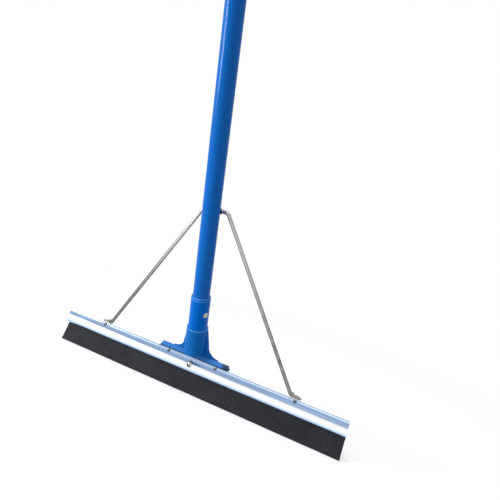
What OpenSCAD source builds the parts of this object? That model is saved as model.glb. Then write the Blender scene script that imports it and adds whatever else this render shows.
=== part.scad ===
// Floor squeegee with a 550 mm head, two foam rubber lips, a leaning handle socket and two braces.
// Millimetres. The origin is the middle of the front lip's wiping face, +X runs along the head,
// +Z is up, and the handle leans towards -Y.

/* [Head] */
// Length of the metal profile and of both wiping lips
head_length = 550; // [450:10:900]
// Height of rubber that shows below the profile
lip_drop = 33; // [28:1:38]
// Distance from the head's middle plane to the outer edge of each lip at the floor
lip_reach = 11.6; // [10:0.2:13]
// Half of the opening between the two lips at the floor
lip_opening = 5; // [3:0.5:6]
// Height of the notch between the two lips
lip_notch = 24; // [16:1:26]
// Wall thickness of the bulging lower channel
channel_wall = 1.5; // [1.2:0.1:1.6]
// Radius of the bulge on the front and back of the profile
bulge_radius = 13; // [13:0.5:15]
// Depth of the profile across its bulge
bulge_depth = 24; // [23.4:0.2:25]
// Depth of the profile across its upper box
box_depth = 18; // [17:0.5:19]
// Thickness of the bracket's tang, which stands in a window in the profile's top
tang_thickness = 6.2; // [5.8:0.2:6.8]

/* [Bracket] */
// Length of the bracket's foot along the head
foot_length = 137; // [126:1:150]
// Height of the foot above the profile
foot_height = 6.5; // [5.5:0.1:8]
// Angle between the handle and the upright head
handle_tilt = 20; // [15:1:24]
// Outer radius of the socket at its rim
socket_radius = 18.2; // [18:0.2:19]
// Distance from the profile's top to the socket's rim, along the handle
socket_rim = 60; // [54:1:66]
// Thickness of the two webs beside the socket
web_thickness = 5; // [4:0.5:6]

/* [Handle] */
// Outside diameter of the handle tube
handle_diameter = 28; // [26:1:28]
// Length of the handle tube
handle_length = 1300; // [900:50:1500]
// Wall thickness of the handle tube
handle_wall = 1.2; // [1:0.1:1.6]
// Outer radius of the plastic collar around the handle's lower end
collar_radius = 16.4; // [16:0.1:16.5]
// Distance from the profile's top to the collar's upper end, along the handle
collar_top = 118; // [105:1:130]

/* [Braces] */
// Diameter of the brace rods
brace_diameter = 6; // [5:0.5:6]
// Distance from the head's middle to each brace rivet
brace_reach = 188.5; // [150:0.5:200]
// Distance from the profile's top to the braces' upper screw, along the handle
brace_height = 261; // [220:1:300]
// Radius of the bend at the top of each rod
brace_bend = 8; // [6:1:10]

/* [Hidden] */
fit_gap = 0.05;
slide_gap = 0.1;
cut = 1;
round_fn = 96;
small_fn = 48;

// heights in the head, from the floor
channel_height = 18.5;
mouth_drop = 10.8;
box_height = 7.5;
flange_thickness = 2;
box_wall = 2.2;
rim_corner = 0.4;
channel_top = lip_drop + channel_height;
box_floor = channel_top + channel_wall;
head_top = box_floor + box_height;
bulge_centre = lip_drop + mouth_drop;
bulge_shift = bulge_radius - bulge_depth / 2;
box_inner = box_depth / 2 - box_wall;
inner_radius = bulge_radius - channel_wall;
mouth_half = sqrt(inner_radius * inner_radius - mouth_drop * mouth_drop) - bulge_shift;
mid_y = (lip_reach + lip_opening) / 2;

// bead and groove along both upper edges of the box
bead_radius = 1.25;
bead_rise = 0.5;
bead_drop = 2.85;
groove_low = 1.8;
groove_high = 0.5;
groove_depth = 0.8;
box_face = box_depth / 2 - bead_rise;
bead_z = head_top - bead_drop;

// slanted crimp marks across the bead, beside the foot and beside each brace
crimp_pitch = 3.3;
crimp_width = 1.4;
crimp_depth = 0.3;
crimp_height = 3.4;
crimp_slant = 42;
crimp_margin = 1;

// clamp screw through the head
screw_radius = 2.5;
screw_drop = 12.1;
screw_z = head_top - screw_drop;
screw_seat = 10.3;
pan_radius = 4.8;
pan_height = 2.8;
washer_radius = 5;
washer_thickness = 1;
nut_flats = 8;
nut_height = 4;
screw_stub = 1.5;

// blind rivets in the upper box
rivet_radius = 1.6;
rivet_head_radius = 3;
rivet_head_height = 1.1;
rivet_tail_radius = 2.6;
rivet_tail_height = 2.4;
mandrel_radius = 0.9;
mandrel_recess = 0.9;
mandrel_stub = 0.6;
rivet_drop = 3.6;
rivet_z = head_top - rivet_drop;
foot_rivet_x = 46.5;
rivet_xs = [-brace_reach, -foot_rivet_x, foot_rivet_x, brace_reach];

// bracket
foot_base_half = 4.2;
foot_top_half = 1.5;
foot_end_slope = 3.2;
foot_point = 13;
foot_point_depth = 2.4;
tang_end_inset = 8;
tang_length = foot_length - 2 * tang_end_inset;
socket_bottom = 12;
socket_floor = 4;
socket_flare = 0.8;
web_foot = 43.5;
web_curve = 20;
web_setback = 3;
web_top_gap = 3;

// collar and handle
collar_floor = 6;
collar_bottom = socket_bottom + socket_floor;
tube_radius = handle_diameter / 2;
tube_start = collar_bottom + collar_floor;
tube_end = tube_start + handle_length;
ring_height = 3.2;
ring_groove = 0.45;
collar_lead = 1.4;
collar_chamfer = 0.9;
collar_screw_s = 88.5;
collar_screw_turn = 20;
tapping_radius = 2;
tapping_head_radius = 4.6;
tapping_head_height = 2.8;
tapping_tip = 3;
tapping_length = 10;
spot_depth = 0.6;
spot_radius = 4.9;

// end cap
cap_plug = 25;
cap_flange = 6;
eye_radius = 11;
eye_rise = 13;
eye_thickness = 9;
eye_hole_radius = 4.5;

// braces
brace_radius = brace_diameter / 2;
pad_thickness = 2.6;
pad_width = 10;
eyelet_radius = 6.5;
pad_end = 8;
taper_end = 13.5;
bend_x = 21.5;
leg_foot_inset = 10.5;
leg_foot_rise = 4.2;
leaf_inset = 5.3;
leaf_y = mid_y - leaf_inset;
leg_foot_x = brace_reach - leg_foot_inset;
leg_foot_z = head_top + leg_foot_rise;
foot_taper = 5.5;
taper_relief = 0.3;
rod_swell = 0.06;
rod_lap = 0.4;
leaf_half_length = 10.4;
leaf_half_height = 2.9;
leaf_rise = 2;
leaf_shift = 1.5;
leaf_x = brace_reach - leaf_shift;
leaf_z = head_top + leaf_rise;
leaf_tang_half = 7;
brace_screw_radius = 2.4;
brace_screw_length = 14;
brace_washer_radius = 6;

// puts children, drawn with Y across the head and Z up, on the head's middle plane
module on_head() {
  translate([0, mid_y, 0])
    children();
}

// carries children up the leaning handle by a distance from the profile's top
module up_handle(distance) {
  on_head()
    translate([0, 0, head_top])
      rotate([handle_tilt, 0, 0])
        translate([0, 0, distance])
          children();
}

// turns a section drawn in Y and Z into a bar along X
module along_head(length) {
  rotate([90, 0, 90])
    linear_extrude(length, center = true)
      children();
}

// lens between two arcs, which shapes the lower channel inside and out
module lens(radius) {
  intersection() {
    translate([bulge_shift, bulge_centre])
      circle(radius, $fn = round_fn);
    translate([-bulge_shift, bulge_centre])
      circle(radius, $fn = round_fn);
  }
}

module band(low, high) {
  translate([-bulge_depth, low])
    square([2 * bulge_depth, high - low]);
}

// box section with a bead and a groove along each of its two upper edges
module upper_box_section() {
  difference() {
    union() {
      translate([-box_face, channel_top])
        square([2 * box_face, head_top - channel_top - rim_corner]);
      translate([-box_face + rim_corner, channel_top])
        square([2 * (box_face - rim_corner), head_top - channel_top]);
      for (side = [-1, 1]) {
        translate([side * (box_face - rim_corner), head_top - rim_corner])
          circle(rim_corner, $fn = small_fn);
        translate([side * (box_depth / 2 - bead_radius), bead_z])
          circle(bead_radius, $fn = small_fn);
      }
    }
    for (side = [0, 1])
      mirror([side, 0])
        translate([box_face - groove_depth, head_top - groove_low])
          square([2 * groove_depth, groove_low - groove_high]);
  }
}

module profile_section() {
  difference() {
    union() {
      intersection() {
        lens(bulge_radius);
        band(lip_drop, box_floor);
      }
      upper_box_section();
    }
    intersection() {
      lens(inner_radius);
      band(lip_drop - cut, channel_top);
    }
    translate([-box_inner, box_floor])
      square([2 * box_inner, box_height - flange_thickness]);
  }
}

// window through the profile's top for an upright plate
module window(x, y, length, thickness) {
  translate([x - length / 2 - slide_gap, y - thickness / 2 - slide_gap, box_floor + cut])
    cube([length + 2 * slide_gap, thickness + 2 * slide_gap, box_height]);
}

// row of slanted notches across both beads, round the given place
module crimp_marks(x, span) {
  count = floor(span / crimp_pitch);
  for (side = [0, 1])
    mirror([0, side, 0])
      for (i = [0 : count])
        translate([x + (i - count / 2) * crimp_pitch, box_face - crimp_depth, bead_z])
          rotate([0, crimp_slant, 0])
            translate([-crimp_width / 2, 0, -crimp_height / 2])
              cube([crimp_width, box_depth, crimp_height]);
}

// hole along Y through the whole head
module cross_hole(x, z, radius) {
  translate([x, 0, z])
    rotate([90, 0, 0])
      cylinder(h = 3 * bulge_depth, r = radius, center = true, $fn = small_fn);
}

module profile() {
  color("#d3d7de")
    on_head()
      difference() {
        along_head(head_length)
          profile_section();
        window(0, 0, tang_length, tang_thickness);
        crimp_marks(0, foot_length - 2 * crimp_margin);
        for (side = [-1, 1]) {
          window(side * brace_reach, -leaf_inset, 2 * leaf_tang_half, pad_thickness);
          crimp_marks(side * leaf_x, 2 * (leaf_half_length - crimp_margin));
        }
        for (x = rivet_xs) {
          cross_hole(x, rivet_z, rivet_radius + fit_gap);
          for (turn = [0, 180])
            translate([x, 0, rivet_z])
              rotate([90, 0, turn])
                translate([0, 0, box_face])
                  cylinder(h = box_depth, r = rivet_head_radius + slide_gap, $fn = small_fn);
        }
        cross_hole(0, screw_z, screw_radius + fit_gap);
        // flat seats for the clamp screw's head and washer
        for (turn = [0, 180])
          rotate([0, 0, turn])
            translate([0, -screw_seat, screw_z])
              rotate([90, 0, 0])
                cylinder(h = bulge_depth, r = washer_radius + slide_gap, $fn = small_fn);
      }
}

// one foam lip in front of the head's middle plane
module lip_section() {
  intersection() {
    lens(inner_radius - slide_gap);
    translate([-bulge_depth, lip_drop])
      square([bulge_depth, channel_top - lip_drop]);
  }
  polygon([
    [0, lip_drop],
    [-(mouth_half - slide_gap), lip_drop],
    [-lip_reach, 0],
    [-lip_opening, 0],
    [0, lip_notch]
  ]);
}

module lip() {
  on_head()
    difference() {
      along_head(head_length)
        lip_section();
      cross_hole(0, screw_z, screw_radius + slide_gap);
    }
}

module lip_front() {
  color("#3a3a3c")
    lip();
}

module lip_rear() {
  color("#343436")
    on_head()
      mirror([0, 1, 0])
        translate([0, -mid_y, 0])
          lip();
}

// domed head with a cross recess, its seat at zero and its crown towards +Z
module pan_head(radius, height) {
  arms = 0.62 * radius;
  difference() {
    intersection() {
      cylinder(h = height, r = radius, $fn = small_fn);
      translate([0, 0, height - 1.35 * radius])
        sphere(1.35 * radius, $fn = small_fn);
    }
    for (turn = [0, 90])
      rotate([0, 0, turn])
        translate([-arms, -0.13 * radius, height / 2])
          cube([2 * arms, 0.26 * radius, height]);
  }
}

module clamp_screw() {
  shank = 2 * screw_seat + washer_thickness + nut_height + screw_stub;
  color("#b9bdc2")
    on_head()
      translate([0, -screw_seat, screw_z])
        rotate([90, 0, 0]) {
          pan_head(pan_radius, pan_height);
          translate([0, 0, -shank])
            cylinder(h = shank, r = screw_radius, $fn = small_fn);
        }
}

module clamp_washer() {
  color("#aeb2b8")
    on_head()
      translate([0, screw_seat, screw_z])
        rotate([-90, 0, 0])
          difference() {
            cylinder(h = washer_thickness, r = washer_radius, $fn = small_fn);
            translate([0, 0, -cut])
              cylinder(h = washer_thickness + 2 * cut, r = screw_radius + slide_gap, $fn = small_fn);
          }
}

module clamp_nut() {
  color("#b9bdc2")
    on_head()
      translate([0, screw_seat + washer_thickness, screw_z])
        rotate([-90, 0, 0])
          difference() {
            cylinder(h = nut_height, r = nut_flats / sqrt(3), $fn = 6);
            translate([0, 0, -cut])
              cylinder(h = nut_height + 2 * cut, r = screw_radius + fit_gap, $fn = small_fn);
          }
}

// set blind rivet through the upper box, its dome on the front
module rivet_body() {
  half = box_face;
  rotate([90, 0, 0])
    difference() {
      union() {
        translate([0, 0, -half])
          cylinder(h = 2 * half, r = rivet_radius, $fn = small_fn);
        translate([0, 0, half])
          intersection() {
            cylinder(h = rivet_head_height, r = rivet_head_radius, $fn = small_fn);
            translate([0, 0, rivet_head_height - 1.6 * rivet_head_radius])
              sphere(1.6 * rivet_head_radius, $fn = small_fn);
          }
        translate([0, 0, -half - rivet_tail_height])
          cylinder(h = rivet_tail_height, r1 = 0.7 * rivet_tail_radius, r2 = rivet_tail_radius, $fn = small_fn);
      }
      cylinder(h = 2 * box_depth, r = mandrel_radius, center = true, $fn = small_fn);
    }
}

module rivet_bodies() {
  color("#c4c7cc")
    on_head()
      for (x = rivet_xs)
        translate([x, 0, rivet_z])
          rivet_body();
}

module rivet_mandrels() {
  tail = box_face + rivet_tail_height + mandrel_stub;
  front = box_face + rivet_head_height - mandrel_recess;
  color("#4a4c50")
    on_head()
      for (x = rivet_xs)
        translate([x, tail, rivet_z])
          rotate([90, 0, 0])
            cylinder(h = tail + front, r = mandrel_radius, $fn = small_fn);
}

// foot bar on the profile with its tang in the window
module foot() {
  rise = foot_height + cut;
  difference() {
    along_head(foot_length)
      polygon([
        [-foot_base_half, head_top],
        [foot_base_half, head_top],
        [foot_top_half, head_top + foot_height],
        [-foot_top_half, head_top + foot_height]
      ]);
    for (side = [0, 1])
      mirror([side, 0, 0])
        foot_end_cuts(rise);
  }
  translate([-tang_length / 2, -tang_thickness / 2, box_floor])
    cube([tang_length, tang_thickness, head_top + cut - box_floor]);
}

// sloping end of the foot and the two faces that narrow it in plan
module foot_end_cuts(rise) {
  translate([foot_length / 2, 0, head_top])
    rotate([0, -atan2(foot_end_slope, foot_height), 0])
      translate([0, -2 * foot_base_half, -foot_height])
        cube([foot_base_half, 4 * foot_base_half, 3 * foot_height]);
  for (turn = [0, 1])
    mirror([0, turn, 0])
      translate([foot_length / 2 - foot_point, foot_base_half, head_top - cut])
        rotate([0, 0, -atan2(foot_point_depth, foot_point)])
          cube([2 * foot_point, 2 * foot_base_half, rise + cut]);
}

// outline of the webs: straight beside the socket, then spreading to the foot in two hollow curves
module web_outline() {
  knee = foot_height + web_curve;
  inner = web_foot - web_curve;
  difference() {
    translate([-web_foot, 0])
      square([2 * web_foot, knee]);
    for (side = [-1, 1])
      translate([side * web_foot, knee])
        circle(web_curve, $fn = round_fn);
  }
  polygon([
    [-inner, knee],
    [inner, knee],
    [socket_radius, socket_rim - web_top_gap],
    [-socket_radius, socket_rim - web_top_gap]
  ]);
}

module socket_shell() {
  up_handle(socket_bottom)
    cylinder(
      h = socket_rim - socket_bottom,
      r1 = socket_radius + socket_flare,
      r2 = socket_radius,
      $fn = round_fn
    );
}

module webs() {
  up_handle(0)
    translate([0, web_setback + web_thickness / 2, 0])
      rotate([90, 0, 0])
        linear_extrude(web_thickness)
          web_outline();
}

module bracket() {
  color("#2466c4")
    difference() {
      union() {
        on_head()
          foot();
        difference() {
          webs();
          translate([-foot_length, -foot_length, head_top - foot_length])
            cube([2 * foot_length, 2 * foot_length, foot_length]);
        }
        socket_shell();
      }
      up_handle(collar_bottom)
        cylinder(h = socket_rim, r = collar_radius + fit_gap, $fn = round_fn);
      on_head()
        for (side = [-1, 1])
          cross_hole(side * foot_rivet_x, rivet_z, rivet_radius + fit_gap);
    }
}

// axis along +Z from the handle's axis towards the collar screw
module at_collar_screw() {
  up_handle(collar_screw_s)
    rotate([0, 0, -collar_screw_turn])
      rotate([0, 90, 0])
        children();
}

module collar() {
  groove = collar_top - ring_height;
  color("#0a6fd8")
    difference() {
      up_handle(0)
        rotate_extrude($fn = round_fn)
          polygon([
            [0, collar_bottom],
            [collar_radius, collar_bottom],
            [collar_radius, groove - 2 * ring_groove],
            [collar_radius - ring_groove, groove - ring_groove],
            [collar_radius, groove],
            [collar_radius, collar_top - collar_lead],
            [collar_radius - collar_chamfer, collar_top],
            [tube_radius + fit_gap, collar_top],
            [tube_radius + fit_gap, tube_start],
            [0, tube_start]
          ]);
      at_collar_screw() {
        cylinder(h = 2 * collar_radius, r = tapping_radius + fit_gap, $fn = small_fn);
        translate([0, 0, collar_radius - spot_depth])
          cylinder(h = collar_radius, r = spot_radius, $fn = small_fn);
      }
    }
}

// tapping screw with its seat at zero, pointing down
module tapping_shank(radius, length) {
  translate([0, 0, -length + tapping_tip])
    cylinder(h = length - tapping_tip, r = radius, $fn = small_fn);
  translate([0, 0, -length])
    cylinder(h = tapping_tip, r1 = 0.25 * radius, r2 = radius, $fn = small_fn);
}

module collar_screw() {
  socket = 0.48 * tapping_head_radius;
  color("#b9bdc2")
    at_collar_screw()
      translate([0, 0, collar_radius - spot_depth]) {
        difference() {
          intersection() {
            cylinder(h = tapping_head_height, r = tapping_head_radius, $fn = small_fn);
            translate([0, 0, tapping_head_height - 1.2 * tapping_head_radius])
              sphere(1.2 * tapping_head_radius, $fn = small_fn);
          }
          translate([0, 0, 0.4 * tapping_head_height])
            cylinder(h = tapping_head_height, r = socket, $fn = 6);
        }
        tapping_shank(tapping_radius, tapping_length);
      }
}

// turns +Z into the handle's rear normal at the braces' screw
module at_brace_screw() {
  up_handle(brace_height)
    rotate([-90, 0, 0])
      children();
}

module handle_tube() {
  color("#0b67cf")
    difference() {
      up_handle(tube_start)
        difference() {
          cylinder(h = handle_length, r = tube_radius, $fn = round_fn);
          translate([0, 0, -cut])
            cylinder(h = handle_length + 2 * cut, r = tube_radius - handle_wall, $fn = round_fn);
        }
      at_collar_screw()
        cylinder(h = 2 * collar_radius, r = tapping_radius + fit_gap, $fn = small_fn);
      at_brace_screw()
        cylinder(h = 2 * tube_radius, r = brace_screw_radius + fit_gap, $fn = small_fn);
    }
}

module end_cap() {
  color("#0a57b4")
    up_handle(tube_end) {
      translate([0, 0, -cap_plug])
        cylinder(h = cap_plug, r = tube_radius - handle_wall - fit_gap, $fn = round_fn);
      cylinder(h = cap_flange, r = tube_radius, $fn = round_fn);
      rotate([90, 0, 90])
        linear_extrude(eye_thickness, center = true)
          difference() {
            union() {
              translate([0, cap_flange + eye_rise])
                circle(eye_radius, $fn = round_fn);
              translate([-eye_radius, cap_flange / 2])
                square([2 * eye_radius, cap_flange / 2 + eye_rise]);
            }
            translate([0, cap_flange + eye_rise])
              circle(eye_hole_radius, $fn = small_fn);
          }
    }
}

// change from a flat pad, thin along Y, at zero to the round rod further along +X
module rod_taper(length, half_width) {
  intersection() {
    rotate([0, 90, 0])
      cylinder(h = length, r1 = norm([half_width, pad_thickness / 2]), r2 = brace_radius + rod_swell, $fn = small_fn);
    translate([0, 0, -half_width - cut])
      linear_extrude(2 * half_width + 2 * cut)
        polygon([
          [0, -pad_thickness / 2],
          [length, -brace_radius - taper_relief],
          [length, brace_radius + taper_relief],
          [0, pad_thickness / 2]
        ]);
  }
}

// flattened upper end of a rod, lying behind the handle with its middle at the given distance
module upper_pad(offset) {
  up_handle(brace_height)
    translate([0, offset, 0]) {
      rotate([90, 0, 0])
        cylinder(h = pad_thickness, r = eyelet_radius, center = true, $fn = small_fn);
      translate([0, -pad_thickness / 2, -pad_width / 2])
        cube([pad_end, pad_thickness, pad_width]);
      translate([pad_end, 0, 0])
        rod_taper(taper_end - pad_end, pad_width / 2);
    }
}

// flattened lower end with its tang in a window behind the profile's front wall
module lower_leaf() {
  rise = (leaf_half_length * leaf_half_length - leaf_half_height * leaf_half_height) / (2 * leaf_half_height);
  arc = rise + leaf_half_height;
  translate([0, pad_thickness / 2, 0])
    rotate([90, 0, 0])
      linear_extrude(pad_thickness) {
        intersection() {
          translate([leaf_x, leaf_z - rise])
            circle(arc, $fn = round_fn);
          translate([leaf_x, leaf_z + rise])
            circle(arc, $fn = round_fn);
        }
        translate([brace_reach - leaf_tang_half, box_floor])
          square([2 * leaf_tang_half, leaf_z - box_floor]);
      }
}

// one rod on the +X side, with its upper pad at the given distance behind the handle's axis
module brace(offset) {
  top_y = mid_y - brace_height * sin(handle_tilt) + offset * cos(handle_tilt);
  top_z = head_top + brace_height * cos(handle_tilt) + offset * sin(handle_tilt);
  drop_y = leaf_y - top_y;
  drop_z = leg_foot_z - top_z;
  fall = sqrt(drop_y * drop_y + drop_z * drop_z);
  turn = atan2(fall, leg_foot_x - bend_x);
  tangent = brace_bend * tan(turn / 2);
  leg = norm([leg_foot_x - bend_x, fall]) - tangent;
  difference() {
    union() {
      upper_pad(offset);
      translate([0, top_y, top_z])
        rotate([atan2(drop_z, drop_y), 0, 0]) {
          translate([taper_end - rod_lap, 0, 0])
            rotate([0, 90, 0])
              cylinder(h = bend_x - tangent - taper_end + 2 * rod_lap, r = brace_radius, $fn = small_fn);
          translate([bend_x - tangent, brace_bend, 0])
            rotate([0, 0, -90])
              rotate_extrude(angle = turn, $fn = round_fn)
                translate([brace_bend, 0])
                  circle(brace_radius + rod_swell, $fn = small_fn);
          translate([leg_foot_x, fall, 0])
            rotate([0, 0, turn - 180])
              rotate([0, 90, 0])
                cylinder(h = leg + rod_lap, r = brace_radius, $fn = small_fn);
        }
      translate([0, leaf_y, 0]) {
        lower_leaf();
        translate([leg_foot_x, 0, leg_foot_z])
          sphere(brace_radius + 2 * rod_swell, $fn = small_fn);
        translate([leg_foot_x + foot_taper, 0, leg_foot_z])
          mirror([1, 0, 0])
            rod_taper(foot_taper, brace_radius);
      }
    }
    at_brace_screw()
      cylinder(h = 3 * tube_radius, r = brace_screw_radius + slide_gap, $fn = small_fn);
    on_head()
      cross_hole(brace_reach, rivet_z, rivet_radius + fit_gap);
  }
}

module brace_right() {
  color("#9a9a96")
    brace(tube_radius + pad_thickness / 2);
}

module brace_left() {
  color("#a2a29d")
    mirror([1, 0, 0])
      brace(tube_radius + 1.5 * pad_thickness);
}

module brace_washer() {
  color("#aeb2b8")
    at_brace_screw()
      translate([0, 0, tube_radius + 2 * pad_thickness])
        difference() {
          cylinder(h = washer_thickness, r = brace_washer_radius, $fn = small_fn);
          translate([0, 0, -cut])
            cylinder(h = washer_thickness + 2 * cut, r = brace_screw_radius + slide_gap, $fn = small_fn);
        }
}

module brace_screw() {
  color("#b9bdc2")
    at_brace_screw()
      translate([0, 0, tube_radius + 2 * pad_thickness + washer_thickness]) {
        pan_head(pan_radius, pan_height);
        tapping_shank(brace_screw_radius, brace_screw_length);
      }
}

profile();
lip_front();
lip_rear();
clamp_screw();
clamp_washer();
clamp_nut();
rivet_bodies();
rivet_mandrels();
bracket();
collar();
collar_screw();
handle_tube();
end_cap();
brace_right();
brace_left();
brace_washer();
brace_screw();
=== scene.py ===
import math

import bmesh
import bpy
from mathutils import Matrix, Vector


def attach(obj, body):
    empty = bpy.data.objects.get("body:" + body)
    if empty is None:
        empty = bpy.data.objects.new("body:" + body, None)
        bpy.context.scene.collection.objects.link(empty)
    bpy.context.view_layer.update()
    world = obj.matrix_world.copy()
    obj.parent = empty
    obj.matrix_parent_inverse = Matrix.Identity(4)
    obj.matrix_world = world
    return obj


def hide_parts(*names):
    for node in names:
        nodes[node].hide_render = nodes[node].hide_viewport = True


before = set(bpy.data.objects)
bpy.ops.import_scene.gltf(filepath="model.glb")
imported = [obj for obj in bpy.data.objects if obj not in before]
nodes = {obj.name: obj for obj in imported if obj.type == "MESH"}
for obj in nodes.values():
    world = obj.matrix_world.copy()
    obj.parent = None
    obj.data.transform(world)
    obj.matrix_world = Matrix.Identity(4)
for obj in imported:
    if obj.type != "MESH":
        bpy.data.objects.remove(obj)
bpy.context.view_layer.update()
mm = 0.001
print("loaded the packed squeegee:", len(nodes), "nodes")


# places taken from the frame, in millimetres

def boxOf(piece):
    # lowest and highest corner of a CAD piece
    corners = list(zip(*piece.bound_box))
    return [round(min(c) / mm, 2) for c in corners], [round(max(c) / mm, 2) for c in corners]


headLow, headHigh = boxOf(nodes["profile"])
headLength = headHigh[0] - headLow[0]
headMiddle = round((headLow[1] + headHigh[1]) / 2, 2)  # Y of the plane between the two lips
metalFoot = headLow[2]  # height of the metal's lower edge, under which the lips spread
handleLean = 20  # degrees, towards the front
handleFoot = (0, headMiddle, headHigh[2])  # where the handle's axis meets the top of the metal
handleAxis = (0, -math.sin(math.radians(handleLean)), math.cos(math.radians(handleLean)))


# helpers for colours, nodes and objects

def srgb(hexCode):
    # a hex colour as the eye reads it, turned into Blender's linear numbers
    channels = [int(hexCode[i:i + 2], 16) / 255 for i in (1, 3, 5)]
    return [c / 12.92 if c <= 0.04045 else ((c + 0.055) / 1.055) ** 2.4 for c in channels] + [1.0]


def perMm(size):
    # texture scale that gives one repeat every "size" millimetres
    return 1 / (size * mm)


def feed(tree, node, inputs):
    # gives a node its values and its incoming links
    for name, value in inputs.items():
        socket = node.inputs[name]
        if isinstance(value, bpy.types.NodeSocket):
            tree.links.new(value, socket)
        else:
            socket.default_value = value


def addNode(tree, kind, inputs=None, **settings):
    # one node with its settings, its values and its incoming links
    node = tree.nodes.new(kind)
    for name, value in settings.items():
        setattr(node, name, value)
    feed(tree, node, inputs or {})
    return node


def newMaterial(name):
    # empty material and the object's own coordinates
    material = bpy.data.materials.new(name)
    material.use_nodes = True
    tree = material.node_tree
    tree.nodes.clear()
    return material, tree, addNode(tree, "ShaderNodeTexCoord").outputs["Object"]


def finish(tree, look, colour, patches, relief):
    # shader with a colour, a roughness that follows the patches and a fine relief
    low, high = look["roughness"]
    start, end = look.get("roughSpread", (0, 1))
    rough = addNode(tree, "ShaderNodeMapRange", {
        "Value": patches, "From Min": start, "From Max": end, "To Min": low, "To Max": high,
    })
    bump = addNode(tree, "ShaderNodeBump", {
        "Height": relief, "Distance": look["relief"] * mm, "Strength": look["reliefStrength"],
    })
    shader = addNode(tree, "ShaderNodeBsdfPrincipled", {
        "Base Color": colour, "Roughness": rough.outputs["Result"], "Normal": bump.outputs[0],
        **look["shader"],
    })
    addNode(tree, "ShaderNodeOutputMaterial", {"Surface": shader.outputs["BSDF"]})
    return shader, bump.outputs[0]


def layTones(tree, colour, *layers):
    # lays tones over a colour, each where its mask is 1
    for mask, code in layers:
        colour = addNode(tree, "ShaderNodeMix", {
            "Factor": mask, "A": colour, "B": srgb(code),
        }, data_type="RGBA").outputs["Result"]
    return colour


def whereAll(tree, *tests):
    # 1 where every test of a value against a limit in millimetres holds, and 0 elsewhere
    masks = [
        addNode(tree, "ShaderNodeMath", {0: value, 1: limit * mm}, operation=comparison).outputs[0]
        for value, comparison, limit in tests
    ]
    product = masks[0]
    for mask in masks[1:]:
        product = addNode(tree, "ShaderNodeMath", {0: product, 1: mask}, operation="MULTIPLY").outputs[0]
    return product


def between(tree, value, start, end, blur=0.15):
    # 1 between two distances in millimetres and 0 outside, with soft edges
    above = addNode(tree, "ShaderNodeMapRange", {
        "Value": value, "From Min": (start - blur) * mm, "From Max": (start + blur) * mm,
    })
    below = addNode(tree, "ShaderNodeMapRange", {
        "Value": value, "From Min": (end + blur) * mm, "From Max": (end - blur) * mm,
    })
    return addNode(tree, "ShaderNodeMath", {
        0: above.outputs["Result"], 1: below.outputs["Result"],
    }, operation="MULTIPLY").outputs[0]


def upHandle(tree, place, start, end):
    # 1 between two distances up the handle's axis, in millimetres from its foot
    foot = [v * mm for v in handleFoot]
    fromFoot = addNode(tree, "ShaderNodeVectorMath", {0: place, 1: foot}, operation="SUBTRACT")
    along = addNode(tree, "ShaderNodeVectorMath", {
        0: fromFoot.outputs[0], 1: handleAxis,
    }, operation="DOT_PRODUCT")
    return between(tree, along.outputs["Value"], start, end)


def seenByCamera(tree):
    # 1 for what the camera sees, straight or in a reflection, and 0 for the light that falls on things
    rays = addNode(tree, "ShaderNodeLightPath").outputs
    return addNode(tree, "ShaderNodeMath", {
        0: rays["Is Camera Ray"], 1: rays["Is Glossy Ray"],
    }, operation="MAXIMUM").outputs[0]


def addObject(name, data):
    obj = bpy.data.objects.new(name, data)
    bpy.context.scene.collection.objects.link(obj)
    return obj


def toMesh(name, bm):
    mesh = bpy.data.meshes.new(name)
    bm.to_mesh(mesh)
    bm.free()
    return mesh


def paint(obj, material):
    if obj.material_slots:
        for slot in obj.material_slots:
            slot.material = material
    else:
        obj.data.materials.append(material)


def smoothPiece(name, rings, sharpAngle):
    # closed mesh through equal rings of points in millimetres, smooth apart from its sharp edges
    bm = bmesh.new()
    loops = [[bm.verts.new(Vector(point) * mm) for point in ring] for ring in rings]
    count = len(loops[0])
    for a, b in zip(loops, loops[1:]):
        for i in range(count):
            j = (i + 1) % count
            bm.faces.new((a[i], a[j], b[j], b[i]))
    bm.faces.new(loops[0][::-1])
    bm.faces.new(loops[-1])
    bmesh.ops.recalc_face_normals(bm, faces=bm.faces)
    mesh = toMesh(name, bm)
    mesh.shade_smooth()
    mesh.set_sharp_from_angle(angle=math.radians(sharpAngle))
    return addObject(name, mesh)


# camera, at the photo's viewing angle

camera = {
    "place": (0.2712, -0.6277, 0.2696),  # metres
    "turn": (89.608, -15.76, 19.625),  # degrees
    "lens": 28.6,  # mm on a 36 mm wide sensor
    "clipStart": 0.02,  # metres
}

cameraData = bpy.data.cameras.new("photoCamera")
cameraData.lens = camera["lens"]
cameraData.clip_start = camera["clipStart"]
cameraObject = addObject("photoCamera", cameraData)
cameraObject.location = camera["place"]
cameraObject.rotation_euler = [math.radians(a) for a in camera["turn"]]
bpy.context.scene.camera = cameraObject
bpy.context.scene.view_settings.view_transform = "Standard"
print("camera set")


# light and floor

studio = {
    "ambient": 0.4,  # light from all round
    "panels": (
        # name, place, width and height in metres, power
        ("keyPanel", (-1.75, -1.35, 0.4), (0.7, 0.7), 41),
        ("fillPanel", (0.2, -0.3, 2.2), (1.6, 1.6), 13),
    ),
    "aim": (0, 0, 0.25),
    "white": "#FFFFFF",
}
floorLook = {
    "tone": "#F4F5F6",
    "grain": 1.5,  # mm
    "relief": 0.05,  # mm
    "reliefStrength": 0.3,
    "lift": 0.42,  # brings the lit floor up to the white behind it
    "fade": (0.75, 1.3),  # metres from the head where the floor runs out into the background
    "reach": 1.4,  # metres
    "steps": 48,  # corners of the round sheet
    "drop": -0.0002,  # metres below the lips, so that the two don't share a face
}


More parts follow.
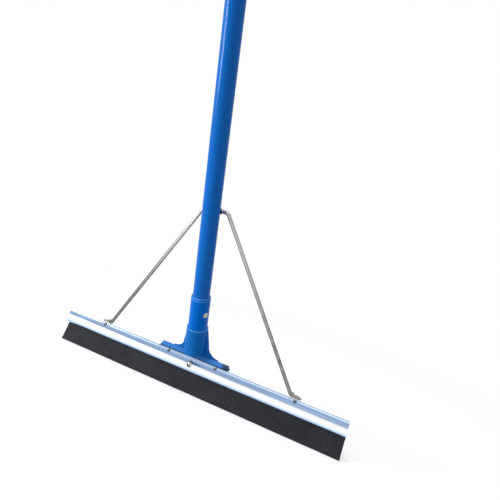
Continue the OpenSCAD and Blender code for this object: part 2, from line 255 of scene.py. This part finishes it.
def lamp(name, place, size, power):
    # soft panel that looks at the tool
    data = bpy.data.lights.new(name, "AREA")
    data.shape = "RECTANGLE"
    data.size, data.size_y = size
    data.energy = power
    panel = addObject(name, data)
    panel.location = place
    panel.rotation_euler = (Vector(studio["aim"]) - Vector(place)).to_track_quat("-Z", "Y").to_euler()


def whiteStudio():
    # even white all round, weaker as a light than as a background
    world = bpy.data.worlds.new("whiteStudio")
    bpy.context.scene.world = world
    world.use_nodes = True
    tree = world.node_tree
    tree.nodes.clear()
    strength = addNode(tree, "ShaderNodeMapRange", {
        "Value": seenByCamera(tree), "To Min": studio["ambient"], "To Max": 1.0,
    })
    sky = addNode(tree, "ShaderNodeBackground", {
        "Color": srgb(studio["white"]), "Strength": strength.outputs["Result"],
    })
    addNode(tree, "ShaderNodeOutputWorld", {"Surface": sky.outputs[0]})


def floorPaper():
    # matt white background paper: no gloss, so that only the soft shadows show
    look = floorLook
    material, tree, place = newMaterial("floorPaper")
    grain = addNode(tree, "ShaderNodeTexNoise", {
        "Vector": place, "Scale": perMm(look["grain"]), "Detail": 2.0,
    })
    bump = addNode(tree, "ShaderNodeBump", {
        "Height": grain.outputs["Fac"], "Distance": look["relief"] * mm, "Strength": look["reliefStrength"],
    })
    paper = addNode(tree, "ShaderNodeBsdfDiffuse", {"Color": srgb(look["tone"]), "Normal": bump.outputs[0]})
    lift = addNode(tree, "ShaderNodeMath", {0: seenByCamera(tree), 1: look["lift"]}, operation="MULTIPLY")
    glow = addNode(tree, "ShaderNodeEmission", {
        "Color": srgb(studio["white"]), "Strength": lift.outputs[0],
    })
    lit = addNode(tree, "ShaderNodeAddShader", {0: paper.outputs[0], 1: glow.outputs[0]})
    reach = addNode(tree, "ShaderNodeVectorMath", {0: place}, operation="LENGTH")
    near, far = look["fade"]
    fade = addNode(tree, "ShaderNodeMapRange", {
        "Value": reach.outputs["Value"], "From Min": near, "From Max": far,
    }, interpolation_type="SMOOTHSTEP")
    clear = addNode(tree, "ShaderNodeBsdfTransparent")
    mix = addNode(tree, "ShaderNodeMixShader", {
        0: fade.outputs["Result"], 1: lit.outputs[0], 2: clear.outputs[0],
    })
    addNode(tree, "ShaderNodeOutputMaterial", {"Surface": mix.outputs[0]})
    return material


def floorSheet():
    look = floorLook
    bm = bmesh.new()
    turns = [2 * math.pi * i / look["steps"] for i in range(look["steps"])]
    bm.faces.new([
        bm.verts.new((look["reach"] * math.cos(a), look["reach"] * math.sin(a), 0)) for a in turns
    ])
    obj = addObject("floorSheet", toMesh("floorSheet", bm))
    obj.location = (0, 0, look["drop"])
    paint(obj, floorPaper())


for panel in studio["panels"]:
    lamp(*panel)
whiteStudio()
floorSheet()
print("light and floor set")


# metal profile, sizes and heights above the floor in millimetres

profileLook = {
    # painted reflections and shade, one tone for each height: bright bands where the curved faces mirror
    # the room, dark lines for the shade in the groove
    "paintedBands": (
        (33.0, "#9DB7DE"), (37.0, "#B2CEF1"), (40.0, "#D6E7FB"), (42.6, "#FAFCFF"), (47.6, "#FAFCFD"),
        (50.6, "#8CA1C1"), (55.6, "#859CC1"), (56.7, "#CFE3F5"), (58.6, "#CFE3F5"), (58.8, "#66788F"),
        (60.1, "#66788F"), (60.3, "#FDFDFD"),
    ),
    "footHalf": 67.5,  # to each side of the middle, where the bracket's foot stands
    "pressedReflectionTone": "#CFE3F5",  # painted reflection of the bead, laid over the groove's painted shade beside the foot, where the groove is pressed nearly shut
    "pressedFrom": 58.7,
    "shadeTone": "#0B2548",  # painted reflection of the dark foot on the strip of the top beside it
    "shadeFrom": 60.2,
    "markShadeTone": "#9DB1CF",  # painted shade in the bottom of the crimp marks
    "markDepth": 8.35,  # from the middle plane, between the marks and the bead
    "markFrom": 55.9,
    "markTo": 60.3,
    "dieLine": 0.7,  # between the fine lines that the die leaves
    "dieStretch": (0.02, 1, 1),  # the lines run along the head
    "smudge": 45,  # changes the roughness
    "roughness": (0.18, 0.3),
    "roughSpread": (0.3, 0.7),
    "relief": 0.03,
    "reliefStrength": 0.35,
    "shader": {"Metallic": 1.0},
}


def paintedReflectionTones(tree, height, paintedBands):
    # painted reflections and shade: tone that changes over the height, the same from all sides, standing in
    # for reflections of a bright room
    low, high = paintedBands[0][0], paintedBands[-1][0]
    level = addNode(tree, "ShaderNodeMapRange", {
        "Value": height, "From Min": low * mm, "From Max": high * mm,
    })
    tones = addNode(tree, "ShaderNodeValToRGB", {"Fac": level.outputs["Result"]})
    stops = tones.color_ramp.elements
    while len(stops) < len(paintedBands):
        stops.new(0.5)
    for stop, (z, code) in zip(stops, paintedBands):
        stop.position = (z - low) / (high - low)
        stop.color = srgb(code)
    return tones.outputs["Color"]


def extrudedAluminium():
    # aluminium drawn through a die: bright, with fine straight lines along its length
    look = profileLook
    material, tree, place = newMaterial("extrudedAluminium")
    spot = addNode(tree, "ShaderNodeSeparateXYZ", {0: place}).outputs
    aside = addNode(tree, "ShaderNodeMath", {0: spot["X"]}, operation="ABSOLUTE").outputs[0]
    atFoot = (aside, "LESS_THAN", look["footHalf"])
    pressed = whereAll(tree, (spot["Z"], "GREATER_THAN", look["pressedFrom"]), atFoot)
    shaded = whereAll(tree, (spot["Z"], "GREATER_THAN", look["shadeFrom"]), atFoot)
    offset = addNode(tree, "ShaderNodeMath", {0: spot["Y"], 1: headMiddle * mm}, operation="SUBTRACT")
    depth = addNode(tree, "ShaderNodeMath", {0: offset.outputs[0]}, operation="ABSOLUTE").outputs[0]
    # the crimp marks are the only faces at the bead's height that lie deeper than the bead
    marked = whereAll(
        tree, (depth, "LESS_THAN", look["markDepth"]), (spot["Z"], "GREATER_THAN", look["markFrom"]),
        (spot["Z"], "LESS_THAN", look["markTo"]),
    )
    # painted reflections and shade over the height, the bead's painted reflection beside the foot, the
    # foot's painted reflection on the top and painted shade in the crimp marks
    colour = layTones(
        tree, paintedReflectionTones(tree, spot["Z"], look["paintedBands"]), (pressed, look["pressedReflectionTone"]),
        (shaded, look["shadeTone"]), (marked, look["markShadeTone"]),
    )
    drawn = addNode(tree, "ShaderNodeMapping", {"Vector": place, "Scale": look["dieStretch"]})
    lines = addNode(tree, "ShaderNodeTexNoise", {
        "Vector": drawn.outputs[0], "Scale": perMm(look["dieLine"]), "Detail": 3.0, "Roughness": 0.6,
    })
    smudge = addNode(tree, "ShaderNodeTexNoise", {
        "Vector": place, "Scale": perMm(look["smudge"]), "Detail": 4.0,
    })
    finish(tree, look, colour, smudge.outputs["Fac"], lines.outputs["Fac"])
    return material


paint(nodes["profile"], extrudedAluminium())
print("profile finished")


# foam rubber lips, each one closed outline drawn along the head, in millimetres

lipShape = {
    "bulbRadius": 11.4,
    "bulbCentre": 43.8,
    "bulbShift": 1,  # the bulge's centre lies this far past the middle plane
    "bulbTop": 51.45,
    "bulbSteps": 14,
    "mouth": 2.85,  # half the rubber's width in the profile's narrow mouth
    "reach": 11.6,  # of the toe, from the middle plane
    "flankSteps": 12,
    "swell": 0.55,  # how far the squeezed rubber stands out under the mouth
    "swellAt": 0.09,  # where it stands out, and how far the swelling goes, as shares of the drop
    "hollow": 0.35,  # of the outer face, half way down
    "opening": 5,  # half the notch's width at the floor
    "notch": 24,  # its height
    "notchFoot": 0.6,  # from the cut edge up to the notch's first point
    "notchSteps": 6,
    "gap": 0.04,  # to the middle plane, so that the two lips don't share a face
    "corner": (0.55, 0.5),  # width and height of the worn corners of the toe
    "toeGap": 0.1,  # that the outer corner stays inside the reach
    "openingGap": 0.02,  # that the inner corner stays off the notch
    "wave": 0.35,  # unevenness of the cut edge
    "waves": ((41, 1, 0.5), (17, 2.3, 0.3), (7.3, 1, 0.2)),  # mm per radian, phase and share of each
    "sway": 0.25,  # how far the lip leaves its straight line
    "swayStretch": 0.6,
    "endGap": 0.02,  # that the ends stay inside the metal's ends
    "step": 5,  # between two outlines
    "sharpAngle": 35,  # degrees
}
lipLook = {
    "tone": "#25272B",
    "pale": "#323439",
    "bloom": 28,  # dusty patches
    "speck": 2.4,  # patches of cut cells that catch the light differently
    "speckShare": 0.6,  # of specks against bloom
    "paleSpread": (0.36, 0.64),  # values of the noise between which the tone turns pale
    "pore": 0.9,  # real cells are near 0.3 mm, drawn coarser so that they show
    "grit": 0.8,  # changes the roughness
    "roughness": (0.7, 0.95),
    "relief": 0.1,
    "reliefStrength": 0.4,
    "shader": {"IOR": 1.5, "Specular IOR Level": 0.15},
}


def lipWave(x, seed):
    return sum(share * math.sin(x / pitch + phase * seed) for pitch, phase, share in lipShape["waves"])


def lipBulb():
    # bulge that fills its half of the profile's channel, from its top down to the mouth
    shape = lipShape
    radius, centre, steps = shape["bulbRadius"], shape["bulbCentre"], shape["bulbSteps"]
    rise = math.asin((shape["bulbTop"] - centre) / radius)
    fall = -math.asin((centre - metalFoot) / radius)
    turns = [rise + (fall - rise) * i / steps for i in range(steps + 1)]
    return [(shape["bulbShift"] - radius * math.cos(a), centre + radius * math.sin(a)) for a in turns]


def lipFlank():
    # outer face, from the mouth down to the toe
    shape = lipShape
    points = []
    for i in range(1, shape["flankSteps"] + 1):
        t = i / (shape["flankSteps"] + 0.5)  # the last half step is left to the corner of the toe
        swell = shape["swell"] * math.exp(-((t - shape["swellAt"]) / shape["swellAt"]) ** 2)
        hollow = shape["hollow"] * math.sin(math.pi * t)
        spread = shape["mouth"] + (shape["reach"] - shape["mouth"]) * t
        points.append((hollow - swell - spread, metalFoot * (1 - t)))
    return points


def lipToe(toe):
    # cut edge on the floor with its worn corners
    shape = lipShape
    inward, up = shape["corner"]
    return [
        (shape["toeGap"] - shape["reach"], toe + up), (inward - shape["reach"], toe),
        (-shape["opening"] - inward, toe), (-shape["opening"] - shape["openingGap"], toe + up),
    ]


def lipNotch(toe):
    # inner face, from the floor up to the point where the two lips meet
    shape = lipShape
    points = []
    for i in range(1, shape["notchSteps"] + 1):
        t = i / shape["notchSteps"]
        z = toe + shape["notchFoot"] + (shape["notch"] - shape["notchFoot"]) * t
        points.append((-shape["opening"] * (1 - t) - shape["gap"], z))
    return points


def lipRing(x, side, seed):
    # closed outline of one lip at one place along the head
    shape = lipShape
    toe = shape["wave"] / 2 * (1 + lipWave(x, seed))
    sway = shape["sway"] * lipWave(x * shape["swayStretch"], seed + 1)
    outline = [(-shape["gap"], shape["bulbTop"])] + lipBulb() + lipFlank() + lipToe(toe) + lipNotch(toe)
    return [(x, headMiddle + side * (y + sway * max(0, 1 - z / metalFoot)), z) for y, z in outline]


def mossRubber():
    # black cellular rubber cut from a slab: dull, with small open pores and a dusty bloom
    look = lipLook
    material, tree, place = newMaterial("mossRubber")
    pores = addNode(tree, "ShaderNodeTexVoronoi", {"Vector": place, "Scale": perMm(look["pore"])})
    bloom, specks, grit = [
        addNode(tree, "ShaderNodeTexNoise", {
            "Vector": place, "Scale": perMm(look[name]), "Detail": detail,
        }).outputs["Fac"]
        for name, detail in (("bloom", 5.0), ("speck", 4.0), ("grit", 2.0))
    ]
    dusty = addNode(tree, "ShaderNodeMix", {"Factor": look["speckShare"], "A": bloom, "B": specks})
    start, end = look["paleSpread"]
    spread = addNode(tree, "ShaderNodeMapRange", {
        "Value": dusty.outputs["Result"], "From Min": start, "From Max": end,
    })
    colour = layTones(tree, srgb(look["tone"]), (spread.outputs["Result"], look["pale"]))
    finish(tree, look, colour, grit, pores.outputs["Distance"])
    return material


def lips():
    shape = lipShape
    rubber = mossRubber()
    count = round(headLength / shape["step"])
    start = shape["endGap"] - headLength / 2
    stations = [start + (headLength - 2 * shape["endGap"]) * i / count for i in range(count + 1)]
    for name, node, side, seed in (("lipFront", "lip_front", 1, 0.4), ("lipRear", "lip_rear", -1, 2.1)):
        rings = [lipRing(x, side, seed) for x in stations]
        obj = smoothPiece(name, rings, shape["sharpAngle"])
        paint(obj, rubber)
        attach(obj, "root")
        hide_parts(node)


lips()
print("lips made")


# bracket, collar and end cap, in millimetres

paintedEdgeTone = "#5CA3E8"  # painted highlight on the rims where two mouldings meet
bracketLook = {
    "tone": "#1469BD",
    "deep": "#1061B0",
    "flow": 24,  # cloudy flow of the melt
    "grain": 0.5,  # spark-eroded texture of the mould
    "rim": (59.1, 61),  # along the handle's axis, the upper edge of the socket, which gets the painted highlight
    "litFootTone": "#3F81CB",  # painted light: the foot is drawn paler, as it catches more of the sky than the upright socket
    "footHeights": (60, 67.2),
    "footDepths": (3.6, 13),  # from front to back
    "endShadeTone": "#3E5672",  # painted shade on the right end of the foot, which faces away from the light
    "endShadeSpan": (55.5, 80),  # from left to right
    "rounding": 0.7,
    "roughness": (0.44, 0.6),
    "relief": 0.05,
    "reliefStrength": 0.3,
    # pigment close under the surface tints the soft part of the gloss
    "shader": {"IOR": 1.53, "Specular Tint": srgb("#5C9BE8"), "Specular IOR Level": 0.16},
}
collarLook = {
    "tone": "#006BCE",
    "deep": "#0064C2",
    "flow": 30,
    "waves": 9,  # of the moulded surface
    "rims": ((117.2, 119), (113.5, 114.3)),  # along the handle's axis, the double ring at the collar's top, which gets the painted highlight
    "rounding": 0.6,
    "roughness": (0.2, 0.32),
    "relief": 0.1,
    "reliefStrength": 0.12,
    "shader": {"IOR": 1.49, "Specular Tint": srgb("#5C9BE8"), "Specular IOR Level": 0.1},
}
edgeRounding = {"segments": 2, "angle": 35}  # of the modifier that rounds both, angle in degrees


def mouldedNylon():
    # nylon moulded against a spark-eroded tool: even colour, satin, with a very fine grain
    look = bracketLook
    material, tree, place = newMaterial("mouldedNylon")
    flow = addNode(tree, "ShaderNodeTexNoise", {
        "Vector": place, "Scale": perMm(look["flow"]), "Detail": 3.0, "Distortion": 0.6,
    })
    grain = addNode(tree, "ShaderNodeTexNoise", {
        "Vector": place, "Scale": perMm(look["grain"]), "Detail": 2.0,
    })
    spot = addNode(tree, "ShaderNodeSeparateXYZ", {0: place}).outputs
    foot = addNode(tree, "ShaderNodeMath", {
        0: between(tree, spot["Z"], *look["footHeights"]), 1: between(tree, spot["Y"], *look["footDepths"]),
    }, operation="MULTIPLY")
    # over the cloudy flow: painted highlight on the socket's rim, painted light on the foot and painted
    # shade on the foot's right end
    colour = layTones(
        tree, srgb(look["tone"]), (flow.outputs["Fac"], look["deep"]),
        (upHandle(tree, place, *look["rim"]), paintedEdgeTone), (foot.outputs[0], look["litFootTone"]),
        (between(tree, spot["X"], *look["endShadeSpan"]), look["endShadeTone"]),
    )
    finish(tree, look, colour, grain.outputs["Fac"], grain.outputs["Fac"])
    return material


def mouldedPolypropylene():
    # polypropylene moulded against a polished tool: clear colour, glossy, with faint waves
    look = collarLook
    material, tree, place = newMaterial("mouldedPolypropylene")
    flow = addNode(tree, "ShaderNodeTexNoise", {
        "Vector": place, "Scale": perMm(look["flow"]), "Detail": 3.0,
    })
    waves = addNode(tree, "ShaderNodeTexNoise", {
        "Vector": place, "Scale": perMm(look["waves"]), "Detail": 1.0,
    })
    # painted highlight on the double ring at the collar's top
    rims = [(upHandle(tree, place, *rim), paintedEdgeTone) for rim in look["rims"]]
    colour = layTones(tree, srgb(look["tone"]), (flow.outputs["Fac"], look["deep"]), *rims)
    finish(tree, look, colour, flow.outputs["Fac"], waves.outputs["Fac"])
    return material


def roundEdges(obj, width):
    # small radius that a mould leaves on every outer edge
    bevel = obj.modifiers.new("rounding", "BEVEL")
    bevel.width = width * mm
    bevel.segments = edgeRounding["segments"]
    bevel.limit_method = "ANGLE"
    bevel.angle_limit = math.radians(edgeRounding["angle"])
    bevel.harden_normals = True


polypropylene = mouldedPolypropylene()
paint(nodes["bracket"], mouldedNylon())
paint(nodes["collar"], polypropylene)
paint(nodes["end_cap"], polypropylene)
roundEdges(nodes["bracket"], bracketLook["rounding"])
roundEdges(nodes["collar"], collarLook["rounding"])
print("bracket, collar and end cap finished")


# handle tube, in millimetres

handleLook = {
    "tone": "#0069C4",
    "deep": "#0062B8",
    "scuff": 60,
    "scuffStretch": (1, 1, 0.15),  # scuffs run along the handle
    "peel": 2.2,  # slight orange peel of sprayed lacquer
    "roughness": (0.3, 0.44),
    "roughSpread": (0.35, 0.75),
    "relief": 0.04,
    "reliefStrength": 0.2,
    "shader": {
        "IOR": 1.5, "Specular IOR Level": 0.06, "Specular Tint": srgb("#5C9BE8"),
        "Coat Weight": 0.16, "Coat Tint": srgb("#E4F0FF"), "Coat Roughness": 0.09,
    },
}


def stovedLacquer():
    # sprayed and stoved lacquer on a metal tube: deep gloss over a slightly wavy coat, with light scuffs
    look = handleLook
    material, tree, place = newMaterial("stovedLacquer")
    drawn = addNode(tree, "ShaderNodeMapping", {"Vector": place, "Scale": look["scuffStretch"]})
    scuffs = addNode(tree, "ShaderNodeTexNoise", {
        "Vector": drawn.outputs[0], "Scale": perMm(look["scuff"]), "Detail": 6.0,
    })
    peel = addNode(tree, "ShaderNodeTexNoise", {
        "Vector": place, "Scale": perMm(look["peel"]), "Detail": 1.0,
    })
    colour = layTones(tree, srgb(look["tone"]), (scuffs.outputs["Fac"], look["deep"]))
    shader, normal = finish(tree, look, colour, scuffs.outputs["Fac"], peel.outputs["Fac"])
    feed(tree, shader, {"Coat Normal": normal})
    return material


paint(nodes["handle_tube"], stovedLacquer())
print("handle finished")


# braces, screws and rivets, sizes and heights above the floor in millimetres

metalLook = {
    "filmSpread": (0.35, 0.7),  # values of the noise between which the film covers the metal
    "filmStretch": 8,  # the patches of film are this many times larger than the marks
    "paintedEdgeTone": "#2C2D2B",  # painted shade: the metal looks darkest where it is seen edge on
    "edgeFacing": (0.16, 0.66),
    "roughRange": 0.16,  # added where the film is thick
    "roughSpread": (0.3, 0.7),
    "relief": 0.03,
    "reliefStrength": 0.3,
    "shader": {"Metallic": 1.0},
}
metals = {
    # zinc plated drawn wire: dull grey, with a painted reflection that makes it paler higher up, from 130
    # mm
    "zincPlatedRod": {
        "tone": "#979894", "dark": "#72716A", "upperSheen": "#B0B2B0", "upperSheenHeights": (130, 260),
        "roughness": 0.26, "marks": 1.2, "paintedDarkEdge": True,
        "nodes": ("brace_right", "brace_left"),
    },
    # bright zinc on machine screws: clear reflections, with painted shade towards their rims
    "zincPlatedScrew": {
        "tone": "#C4CBD0", "dark": "#72716A", "roughness": 0.2, "marks": 0.8, "paintedDarkEdge": True,
        "nodes": ("clamp_screw", "clamp_washer", "clamp_nut", "brace_washer", "brace_screw"),
    },
    # zinc on the small tapping screw: pale and warm all over
    "zincPlatedTappingScrew": {
        "tone": "#CDCFCB", "dark": "#9C978C", "roughness": 0.25, "marks": 0.8, "paintedDarkEdge": False,
        "nodes": ("collar_screw",),
    },
    # drawn aluminium of the rivets: grey and satin
    "drawnRivetAluminium": {
        "tone": "#7F868F", "dark": "#444950", "roughness": 0.42, "marks": 0.8, "paintedDarkEdge": True,
        "nodes": ("rivet_bodies",),
    },
    # steel of the snapped mandrels, drawn nearly black
    "darkMandrelSteel": {
        "tone": "#3A3C40", "dark": "#2A2C2F", "roughness": 0.45, "marks": 0.5, "paintedDarkEdge": False,
        "nodes": ("rivet_mandrels",),
    },
}


def drawnMetal(name, metal):
    # metal with fine marks and patches of duller film
    material, tree, place = newMaterial(name)
    film, marks = [
        addNode(tree, "ShaderNodeTexNoise", {
            "Vector": place, "Scale": perMm(size), "Detail": detail,
        }).outputs["Fac"]
        for size, detail in ((metal["marks"] * metalLook["filmStretch"], 5.0), (metal["marks"], 3.0))
    ]
    layers = [(film, metalLook["filmSpread"], 1, metal["dark"])]
    # painted reflection: paler higher up on the braces
    if "upperSheen" in metal:
        height = addNode(tree, "ShaderNodeSeparateXYZ", {0: place}).outputs["Z"]
        layers.append((height, metal["upperSheenHeights"], mm, metal["upperSheen"]))
    # painted shade, darker where the metal is seen edge on
    if metal["paintedDarkEdge"]:
        facing = addNode(tree, "ShaderNodeLayerWeight", {"Blend": 0.5}).outputs["Facing"]
        layers.append((facing, metalLook["edgeFacing"], 1, metalLook["paintedEdgeTone"]))
    colour = srgb(metal["tone"])
    for value, (start, end), unit, code in layers:
        mask = addNode(tree, "ShaderNodeMapRange", {
            "Value": value, "From Min": start * unit, "From Max": end * unit,
        })
        colour = layTones(tree, colour, (mask.outputs["Result"], code))
    roughness = (metal["roughness"], metal["roughness"] + metalLook["roughRange"])
    finish(tree, {**metalLook, "roughness": roughness}, colour, film, marks)
    return material


for name, metal in metals.items():
    material = drawnMetal(name, metal)
    for node in metal["nodes"]:
        paint(nodes[node], material)
print("metal parts finished")
